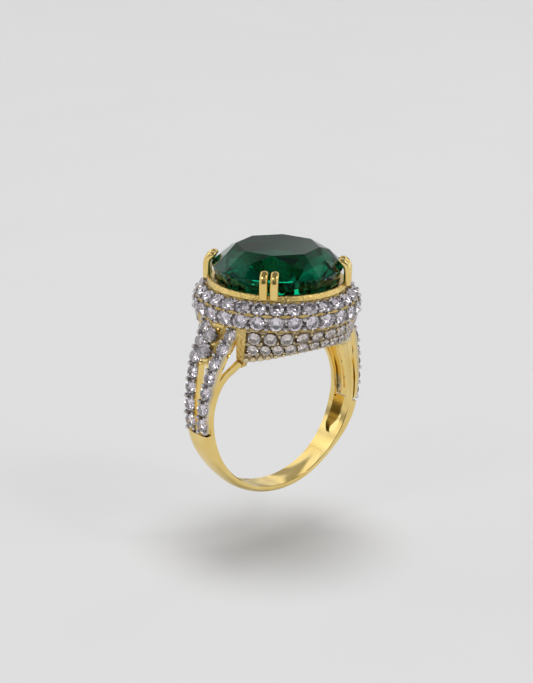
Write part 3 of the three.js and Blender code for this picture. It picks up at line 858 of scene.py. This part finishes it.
def gallery_place(degrees):
    """Top point of the wall, the direction down it, its outward direction and its height."""
    a = math.radians(degrees)
    top = polar(GALLERY["top_radius"], degrees, GALLERY["top"])
    x = GALLERY["rim_x"] * math.cos(a)
    rim = Vector((x, GALLERY["rim_y"] * math.sin(a), GALLERY["rim_z"] - GALLERY["arch"] * x * x))
    down = rim - top
    length = down.length
    down.normalize()
    tangent = Vector((-math.sin(a), math.cos(a), 0))
    out = down.cross(tangent).normalized()
    if out.dot(top) < 0:
        out.negate()
    return top, down, out, length


def gallery_section(face, share):
    degrees = face * mix(GALLERY["corner_angle"], 180 - GALLERY["corner_angle"], share)
    from_middle = degrees - face * 90
    top, down, out, length = gallery_place(degrees)
    points = [(0.0, 0.0)]
    floor, depth = GALLERY_GROOVE["floor"], GALLERY_GROOVE["depth"]
    for row in (GALLERY_UPPER, GALLERY_LOWER):
        wave = math.cos(2 * math.pi * (from_middle / row["pitch"] + 0.5))
        half = (GROOVE["half"] + GALLERY_GROOVE["scallop"] * wave) * row["squeeze"]
        rise = -GALLERY_GROOVE["edge_drop"] - GROOVE["wave_drop"] * wave
        middle = row["down"]
        points += [
            (middle - half, rise), (middle - floor, -depth),
            (middle + floor, -depth), (middle + half, rise),
        ]
    wall = GALLERY["wall"]
    rim = [(length, 0.0), (length + GALLERY["rim_bulge"], -wall / 2), (length, -wall)]
    points += rim + [(GALLERY["back_start"], -wall)]
    return [top + down * u + out * v for u, v in points]


def gallery_row_place(face, row, degrees_from_middle, across_shift=0.0):
    top, down, out, _ = gallery_place(face * (90 + degrees_from_middle))
    origin = top + down * (row["down"] + across_shift) + out * MELEE_LIFT
    return origin, -down, out


def build_gallery(face_name, face):
    body = Body()
    steps = GALLERY["steps"]
    body.loft([gallery_section(face, i / steps) for i in range(steps + 1)])
    node = f"gallery_{face_name}"
    body.finish(f"{node}_metal", [shadow_gold], "white_rhodium", [node])
    beads = Body()
    for row_name, row in (("upper", GALLERY_UPPER), ("lower", GALLERY_LOWER)):
        stones = Body()
        for i in range(row["stones"]):
            spot = (i - (row["stones"] - 1) / 2) * row["pitch"]
            place = gallery_row_place(face, row, spot)
            set_stone(stones, place, row["radius"], spin=SPIN["gallery"] * i)
            for edge in (-GALLERY_BEAD["shift"], GALLERY_BEAD["shift"]):
                shift = edge * row["radius"]
                origin, _, out = gallery_row_place(face, row, spot - row["pitch"] / 2, shift)
                radius = GALLERY_BEAD["radius"] * row["radius"]
                beads.bead(origin + out * GALLERY_BEAD["lift"], radius, out)
        name = f"gallery_{row_name}_{face_name}_brilliants"
        stones.finish(
            name, [shaded_stone], "white_stone", [f"gallery_{row_name}_row_{face_name}"], sharp=0
        )
    spot = RIM_BEADS["first"]
    while spot <= -RIM_BEADS["first"]:
        top, down, out, length = gallery_place(face * (90 + spot))
        room = length - RIM_BEADS["below"]
        radius = min(RIM_BEADS["largest"], room / 2)
        if radius > RIM_BEADS["smallest"]:
            centre = top + down * (length - radius * RIM_BEADS["inset"])
            beads.bead(centre + out * RIM_BEADS["lift"], radius, out)
        spot += RIM_BEADS["pitch"]
    beads.finish(f"gallery_{face_name}_beads", [pale_gold], "white_rhodium")


def build_corner_posts():
    """The textured posts that tie each arm to the halo, between shoulder and gallery."""
    body = Body()
    depth, turn = CORNER_POST_DEPTH, CORNER_POST_TURN
    for _, side in SIDES:
        for _, face in FACES:
            sections = []
            for z, (x0, y0), (x1, y1) in CORNER_POST:
                corners = [(x0, y0), (x1, y1), (x1 - depth, y1 - turn), (x0 - depth, y0)]
                sections.append([Vector((side * x, face * y, z)) for x, y in corners])
            body.loft(sections)
    body.finish("corner_posts", [sanded_gold], "yellow_gold", sharp=40)


for face_name, face in FACES:
    build_gallery(face_name, face)
build_corner_posts()

# ---------------------------------------------------------------- centre stone and its setting


def build_centre():
    body = Body()
    body.add(*brilliant(CENTRE_STONE, CENTRE_GIRDLE_STEPS))
    body.finish("centre_brilliant", [green_stone], "green_stone", ["centre_stone"], sharp=0)


def smooth_path(path, steps):
    """Points on a soft curve through the path."""
    points = [Vector((r, 0, z)) for r, z in path]
    ends = [points[0] * 2 - points[1]] + points + [points[-1] * 2 - points[-2]]
    curve = []
    for a, b, c, d in zip(ends, ends[1:], ends[2:], ends[3:]):
        for i in range(steps):
            t = i / steps
            bend = (2 * a - 5 * b + 4 * c - d) * t**2 + (3 * b - a - 3 * c + d) * t**3
            curve.append(0.5 * (2 * b + (c - a) * t + bend))
    curve.append(points[-1])
    return curve


def squared(x):
    """A sine or cosine pushed outward, which gives a claw its rounded, squarish outline."""
    return math.copysign(abs(x) ** CLAW_SQUARENESS, x)


def claw_sections(angle, offset):
    """Outlines along one claw; the tip narrows and thins over the last steps of the curve."""
    curve = smooth_path(CLAW_PATH, CLAW_CURVE_STEPS)
    turn = Matrix.Rotation(math.radians(angle), 3, "Z")
    sections = []
    last = len(curve) - 1
    for i, point in enumerate(curve):
        before, after = curve[max(0, i - 1)], curve[min(last, i + 1)]
        forward = (after - before).normalized()
        out = forward.cross(Vector((0, 1, 0))).normalized()
        near_tip = max(0.0, (i - last) / CLAW_TIP_STEPS + 1)
        narrowed = max(CLAW_TIP["width_left"], 1 - near_tip ** CLAW_TIP["width_power"])
        thinned = max(CLAW_TIP["depth_left"], 1 - near_tip ** CLAW_TIP["depth_power"])
        width = CLAW_HALF_WIDTH * math.sqrt(narrowed)
        depth = CLAW_HALF_DEPTH * mix(1.0, CLAW_TIP["depth"], near_tip) * math.sqrt(thinned)
        outline = []
        for k in range(CLAW_SIDES):
            a = 2 * math.pi * k / CLAW_SIDES
            u = squared(math.cos(a)) * width
            v = squared(math.sin(a)) * depth
            if v > 0:
                v -= CLAW_HOLLOW * (1 - (u / width) ** 2) ** 2
            outline.append(turn @ (point + Vector((0, u + offset, 0)) + out * v))
        sections.append(outline)
    return sections


def turned(outline, sides):
    """A ring with the given outline of (radius, z)."""
    body = Body()
    step = 360 / sides
    body.loft([[polar(r, step * i, z) for r, z in outline] for i in range(sides)], closed=True)
    return body


def build_setting():
    for corner, angle in CLAW_CORNERS.items():
        for number, offset in ((1, -CLAW_PAIR_OFFSET), (2, CLAW_PAIR_OFFSET)):
            body = Body()
            body.loft(claw_sections(angle, offset))
            node = f"claw_{corner}_{number}"
            body.finish(f"{node}_prong", [polished_gold], "yellow_gold", [node], sharp=60)

    body = turned(COLLET_OUTLINE, COLLET_SIDES)
    body.finish("collet_rail", [brushed_gold], "yellow_gold", ["collet"], sharp=50)
    body = turned(SEAT_OUTLINE, SEAT_SIDES)
    body.finish("seat_ledge", [sanded_gold], "yellow_gold", ["stone_seat"], sharp=50)


build_centre()
build_setting()

# ---------------------------------------------------------------- floor, light and camera


def build_floor():
    h, z = FLOOR_HALF * MM, FLOOR_Z * MM
    mesh = bpy.data.meshes.new("studio_floor")
    mesh.from_pydata([(-h, -h, z), (h, -h, z), (h, h, z), (-h, h, z)], [], [(0, 1, 2, 3)])
    material, tree, shader = new_material("studio_paper")
    shader.inputs["Roughness"].default_value = 0.9
    shader.inputs["Specular IOR Level"].default_value = 0.0
    stops = list(zip(NOISE_RANGE, PAPER_TONES))
    tree.links.new(ramp(tree, noise(tree, *PAPER_NOISE), stops), shader.inputs["Base Color"])
    mesh.materials.append(material)
    floor = bpy.data.objects.new("studio_floor", mesh)
    bpy.context.scene.collection.objects.link(floor)


def build_world():
    """Studio surround: its brightness goes with height, with patches and a darker camera side."""
    world = bpy.data.worlds.new("studio")
    world.use_nodes = True
    tree = world.node_tree
    background = tree.nodes["Background"]
    coordinates = tree.nodes.new("ShaderNodeTexCoord")
    split = tree.nodes.new("ShaderNodeSeparateXYZ")
    tree.links.new(coordinates.outputs["Generated"], split.inputs["Vector"])
    height = map_range(tree, split.outputs["Z"], -1.0, 1.0, 0.0, 1.0)
    colour = ramp(tree, height, [(p, (v, v, v)) for p, v in STUDIO_TONES])
    facing = tree.nodes.new("ShaderNodeVectorMath")
    facing.operation = "DOT_PRODUCT"
    facing.inputs[1].default_value = CAMERA_SIDE
    tree.links.new(coordinates.outputs["Generated"], facing.inputs[0])
    shade = map_range(
        tree, facing.outputs["Value"], CAMERA_SHADE["start"], CAMERA_SHADE["end"],
        1.0, CAMERA_SHADE["darkest"], soft=True,
    )
    clutter = tree.nodes.new("ShaderNodeTexNoise")
    clutter.inputs["Scale"].default_value = STUDIO_CLUTTER["scale"]
    clutter.inputs["Detail"].default_value = STUDIO_CLUTTER["detail"]
    tree.links.new(coordinates.outputs["Generated"], clutter.inputs["Vector"])
    patches = map_range(
        tree, clutter.outputs["Fac"], STUDIO_CLUTTER["start"], STUDIO_CLUTTER["end"],
        STUDIO_CLUTTER["dark"], STUDIO_CLUTTER["light"], soft=True,
    )
    both = tree.nodes.new("ShaderNodeMath")
    both.operation = "MULTIPLY"
    tree.links.new(shade, both.inputs[0])
    tree.links.new(patches, both.inputs[1])
    darker = tree.nodes.new("ShaderNodeVectorMath")
    darker.operation = "SCALE"
    tree.links.new(colour, darker.inputs[0])
    tree.links.new(both.outputs["Value"], darker.inputs["Scale"])
    tree.links.new(darker.outputs["Vector"], background.inputs["Color"])
    background.inputs["Strength"].default_value = 1.0
    bpy.context.scene.world = world


def build_sun():
    light = bpy.data.lights.new("overhead", "SUN")
    light.energy = SUN["strength"]
    light.angle = math.radians(SUN["angle"])
    lamp = bpy.data.objects.new("overhead", light)
    lamp.visible_glossy = False
    bpy.context.scene.collection.objects.link(lamp)


def build_softboxes():
    """Soft boxes that leave bright streaks in the metal and sparkle in the stones."""
    for name, (azimuth, elevation, power) in SOFTBOXES.items():
        light = bpy.data.lights.new(name, "AREA")
        light.shape = "SQUARE"
        light.size = SOFTBOX_SIZE * MM
        light.energy = power
        lamp = bpy.data.objects.new(name, light)
        up = math.sin(math.radians(elevation)) * SOFTBOX_DISTANCE
        place = polar(math.cos(math.radians(elevation)) * SOFTBOX_DISTANCE, azimuth, up)
        lamp.location = place * MM
        lamp.rotation_euler = place.to_track_quat("Z", "Y").to_euler()
        bpy.context.scene.collection.objects.link(lamp)


def build_camera():
    a, e, roll = (math.radians(CAMERA[k]) for k in ("azimuth", "elevation", "roll"))
    back = Vector((math.sin(a) * math.cos(e), -math.cos(a) * math.cos(e), math.sin(e)))
    right = Vector((math.cos(a), math.sin(a), 0))
    up = back.cross(right)
    rolled_right = right * math.cos(roll) + up * math.sin(roll)
    rolled_up = up * math.cos(roll) - right * math.sin(roll)
    place = back * CAMERA["distance"]
    aim = rolled_right * AIM[0] + rolled_up * AIM[1]
    z_axis = (place - aim).normalized()
    x_axis = rolled_up.cross(z_axis).normalized()
    y_axis = z_axis.cross(x_axis)
    turn = Matrix((x_axis, y_axis, z_axis)).transposed().to_4x4()
    camera = bpy.data.cameras.new("camera")
    camera.lens = CAMERA["lens"]
    camera.sensor_width = CAMERA["sensor"]
    camera.clip_start, camera.clip_end = CAMERA["clip"]
    holder = bpy.data.objects.new("camera", camera)
    holder.matrix_world = Matrix.Translation(place * MM) @ turn
    bpy.context.scene.collection.objects.link(holder)
    bpy.context.scene.camera = holder


build_floor()
build_world()
build_sun()
build_softboxes()
build_camera()
bpy.context.scene.view_settings.view_transform = "Standard"
